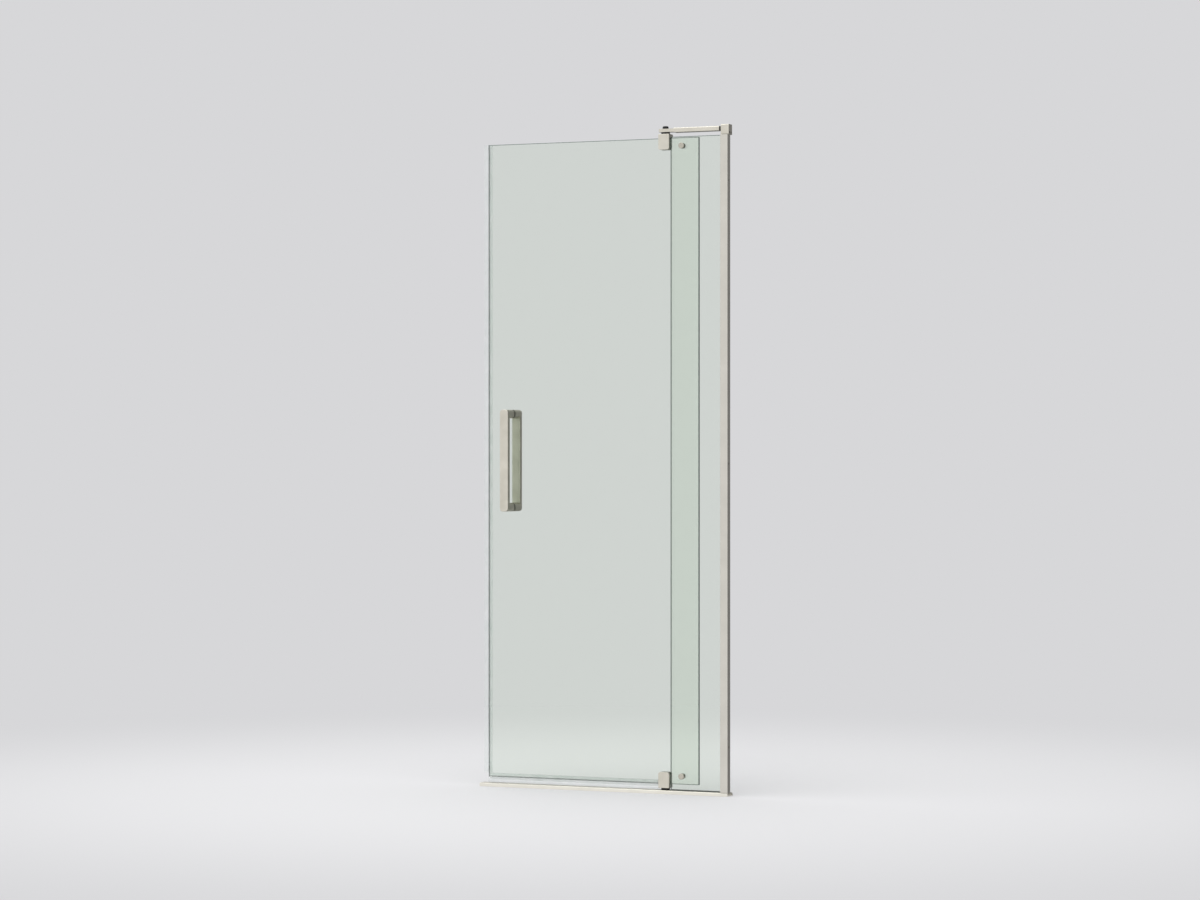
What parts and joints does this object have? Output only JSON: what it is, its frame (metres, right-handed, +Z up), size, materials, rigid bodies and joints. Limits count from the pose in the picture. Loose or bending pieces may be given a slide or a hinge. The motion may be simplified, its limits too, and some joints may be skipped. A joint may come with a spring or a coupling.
{
  "type": "pivot shower door",
  "caption": "Pivot shower door for an alcove: a glass leaf with a tail that laps a fixed panel, wall jamb, low threshold, support bar, clamp-on pivot hinges and a back-to-back pull handle.",
  "frame": {"origin": "on the floor, midway along the threshold extrusion, in the middle plane of the door glass", "axes": "+X along the threshold towards the hinge wall, +Y into the shower, +Z up"},
  "size_m": [0.7236, 0.096, 1.778],
  "materials": {
    "satin_aluminium": "satin anodised, fine grain along the extrusion",
    "brushed_nickel": "brushed nickel plate",
    "stainless_steel": "turned stainless steel",
    "tempered_glass": "clear tempered glass with polished edges and a faint green tint",
    "black_nylon": "black nylon, satin",
    "black_rubber": "matte rubber",
    "grey_gasket": "soft grey vinyl",
    "clear_vinyl": "clear flexible vinyl"
  },
  "bodies": {
    "frame": {"threshold": "satin_aluminium", "threshold_nut": "stainless_steel", "wall_jamb": "satin_aluminium", "jamb_gasket": "grey_gasket", "fixed_panel": "tempered_glass", "panel_shoe": "grey_gasket", "support_bar": "brushed_nickel", "bar_spacer": "black_nylon", "bar_stud": "stainless_steel", "wall_bracket": "brushed_nickel", "bracket_set_screw": "stainless_steel", "top_pivot_pin": "stainless_steel", "pivot_cap": "black_nylon", "top_washer": "black_nylon", "bottom_pivot_pin": "stainless_steel", "bottom_washer": "black_nylon", "stop_caps": "brushed_nickel", "stop_sleeves": "black_nylon", "stop_bumpers": "black_rubber", "stop_screws": "stainless_steel"},
    "door": {"door_glass": "tempered_glass", "upper_hinge_front": "brushed_nickel", "upper_hinge_back": "brushed_nickel", "lower_hinge_front": "brushed_nickel", "lower_hinge_back": "brushed_nickel", "hinge_gaskets": "grey_gasket", "hinge_screws": "stainless_steel", "pivot_bushes": "black_nylon", "handle_front": "brushed_nickel", "handle_rear": "brushed_nickel", "handle_studs": "stainless_steel", "handle_sleeves": "clear_vinyl", "handle_washers": "grey_gasket", "handle_set_screws": "stainless_steel", "edge_seal": "clear_vinyl", "bottom_sweep": "clear_vinyl"}
  },
  "joints": [
    {"name": "door_swing", "type": "hinge", "parent": "frame", "child": "door", "pos_m": [0.17675, 0, 0], "axis": [0, 0, 1], "range_deg": [0, 110]}
  ]
}
